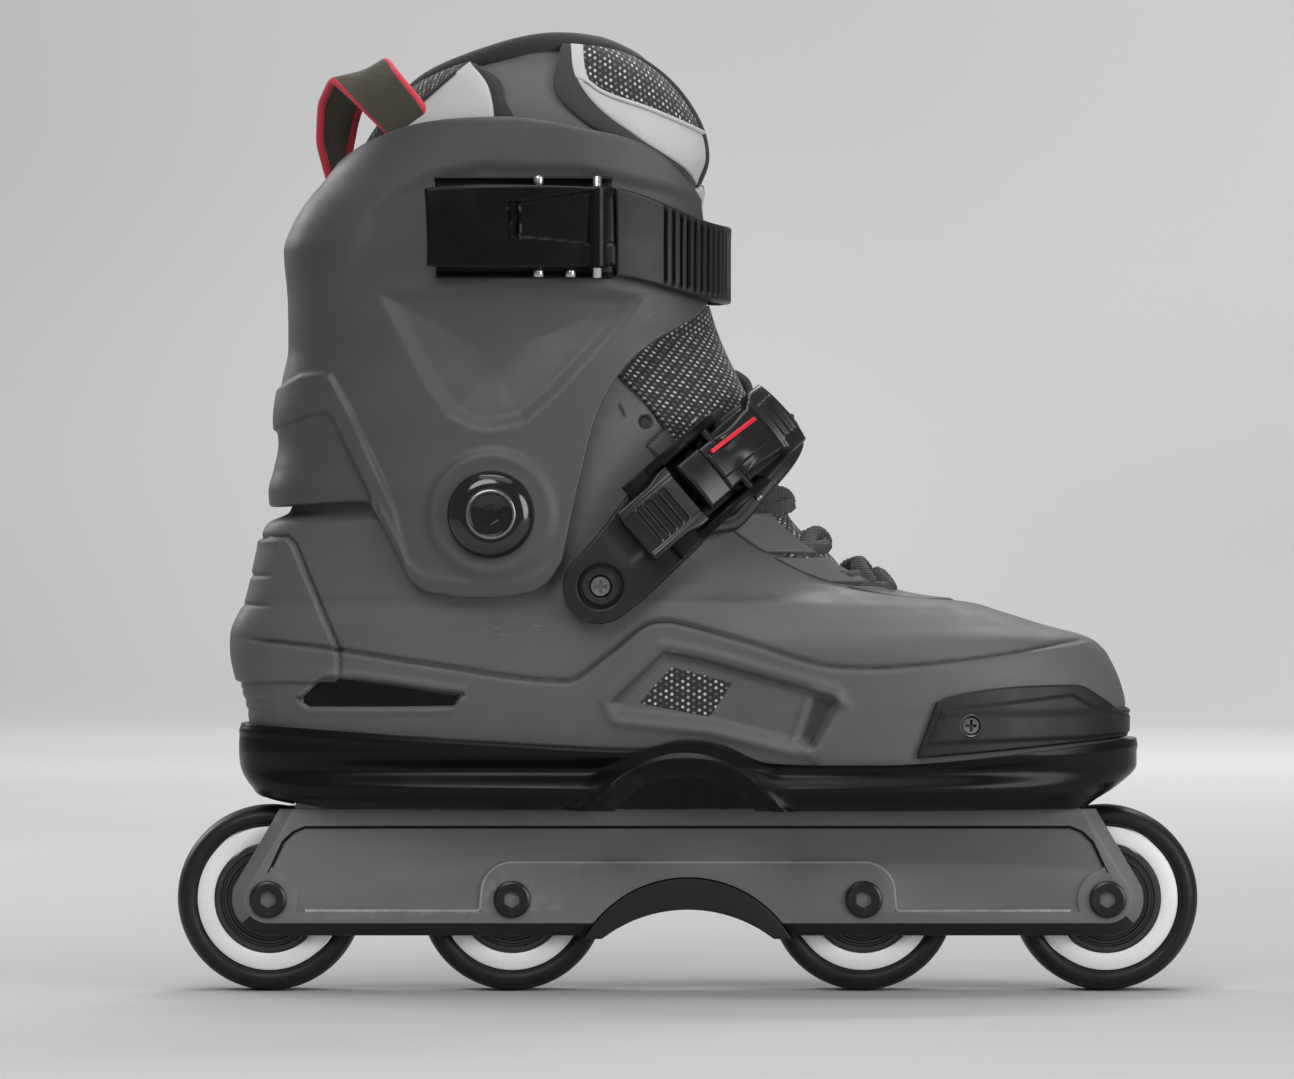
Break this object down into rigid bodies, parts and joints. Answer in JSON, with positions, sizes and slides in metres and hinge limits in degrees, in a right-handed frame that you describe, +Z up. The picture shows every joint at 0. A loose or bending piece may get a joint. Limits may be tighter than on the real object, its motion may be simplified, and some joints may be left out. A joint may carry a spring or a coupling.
{
  "type": "inline skate",
  "caption": "Aggressive inline skate: hard boot with hinged cuff, buckle and ratchet straps, liner, grind soulplate and channel frame on wheels in line",
  "frame": {"origin": "on the ground under the middle of the wheelbase, in the frame's centre plane", "axes": "+X to the toe, +Y to the inner (medial) side of a right foot, +Z up"},
  "size_m": [0.319, 0.1138, 0.2976],
  "materials": {
    "frame_plastic": "satin grey moulded nylon",
    "shell_plastic": "matt dark grey moulded plastic with a fine grain",
    "cuff_plastic": "matt dark grey moulded plastic with a fine grain",
    "black_plastic": "satin black nylon",
    "tyre": "black urethane, satin",
    "core": "light grey urethane core",
    "bearing_steel": "polished steel",
    "bolt_steel": "black oxide steel",
    "pin_steel": "bright steel",
    "liner_fabric": "woven mesh with leatherette panels",
    "tongue_fabric": "leatherette and mesh",
    "foam": "moulded foam",
    "lace_fabric": "braided polyester",
    "webbing": "olive ribbed webbing with red piping"
  },
  "bodies": {
    "root": {"frame": "frame_plastic", "h_block": "black_plastic", "heel_frame_bolt": "bolt_steel", "toe_frame_bolt": "bolt_steel", "soulplate": "black_plastic", "shell": "shell_plastic", "toe_guard": "black_plastic", "toe_guard_screw_lateral": "pin_steel", "toe_guard_screw_medial": "pin_steel", "heel_inlay_lateral": "black_plastic", "heel_inlay_medial": "black_plastic", "cuff_nut_lateral": "pin_steel", "cuff_nut_medial": "pin_steel", "cuff_bolt_lateral": "bolt_steel", "cuff_bolt_medial": "bolt_steel", "liner_foot": "liner_fabric", "tongue_lower": "tongue_fabric", "footbed": "foam", "shock_pad": "foam", "lace": "lace_fabric", "instep_screw_lateral": "bolt_steel", "instep_screw_medial": "bolt_steel", "axle_1": "bolt_steel", "axle_2": "bolt_steel", "axle_3": "bolt_steel", "axle_4": "bolt_steel", "spacer_1": "bearing_steel", "spacer_2": "bearing_steel", "spacer_3": "bearing_steel", "spacer_4": "bearing_steel"},
    "wheel_1": {"tyre_1": "tyre", "hub_1": "core", "bearing_lateral_1": "bearing_steel", "bearing_medial_1": "bearing_steel"},
    "wheel_2": {"tyre_2": "tyre", "hub_2": "core", "bearing_lateral_2": "bearing_steel", "bearing_medial_2": "bearing_steel"},
    "wheel_3": {"tyre_3": "tyre", "hub_3": "core", "bearing_lateral_3": "bearing_steel", "bearing_medial_3": "bearing_steel"},
    "wheel_4": {"tyre_4": "tyre", "hub_4": "core", "bearing_lateral_4": "bearing_steel", "bearing_medial_4": "bearing_steel"},
    "cuff_body": {"cuff": "cuff_plastic", "liner_cuff": "liner_fabric", "tongue_upper": "tongue_fabric", "pull_loop": "webbing", "cuff_buckle_base": "black_plastic", "cuff_strap": "black_plastic", "cuff_buckle_pin": "pin_steel"},
    "cuff_lever_body": {"cuff_buckle_lever": "black_plastic"},
    "instep_body": {"instep_arm": "black_plastic", "instep_ladder": "black_plastic", "instep_buckle_base": "black_plastic", "instep_buckle_pin": "pin_steel"},
    "ratchet_body": {"ratchet_lever": "black_plastic"},
    "release_body": {"release_lever": "black_plastic"}
  },
  "joints": [
    {"name": "wheel_1_spin", "type": "hinge", "parent": "root", "child": "wheel_1", "pos_m": [-0.1305, 0, 0.029], "axis": [0, 1, 0], "continuous": true},
    {"name": "wheel_2_spin", "type": "hinge", "parent": "root", "child": "wheel_2", "pos_m": [-0.0547, 0, 0.029], "axis": [0, 1, 0], "continuous": true},
    {"name": "wheel_3_spin", "type": "hinge", "parent": "root", "child": "wheel_3", "pos_m": [0.0547, 0, 0.029], "axis": [0, 1, 0], "continuous": true},
    {"name": "wheel_4_spin", "type": "hinge", "parent": "root", "child": "wheel_4", "pos_m": [0.1305, 0, 0.029], "axis": [0, 1, 0], "continuous": true},
    {"name": "cuff_flex", "type": "hinge", "parent": "root", "child": "cuff_body", "pos_m": [-0.0607, 0, 0.1486], "axis": [0, 1, 0], "range_deg": [0, 10]},
    {"name": "cuff_lever", "type": "hinge", "parent": "cuff_body", "child": "cuff_lever_body", "pos_m": [-0.028, -0.05045, 0.237], "axis": [0, 0, 1], "range_deg": [0, 110]},
    {"name": "instep_swing", "type": "hinge", "parent": "root", "child": "instep_body", "pos_m": [-0.027, 0, 0.1265], "axis": [0, 1, 0], "range_deg": [-8, 0]},
    {"name": "ratchet_lift", "type": "hinge", "parent": "instep_body", "child": "ratchet_body", "pos_m": [0.01185, -0.04147, 0.1656], "axis": [0.6494, 0, -0.7604], "range_deg": [0, 30], "stiffness_Nm_per_rad": 0.02},
    {"name": "release_press", "type": "hinge", "parent": "instep_body", "child": "release_body", "pos_m": [-0.00147, -0.04715, 0.15422], "axis": [-0.6494, 0, 0.7604], "range_deg": [0, 12], "stiffness_Nm_per_rad": 0.05}
  ]
}
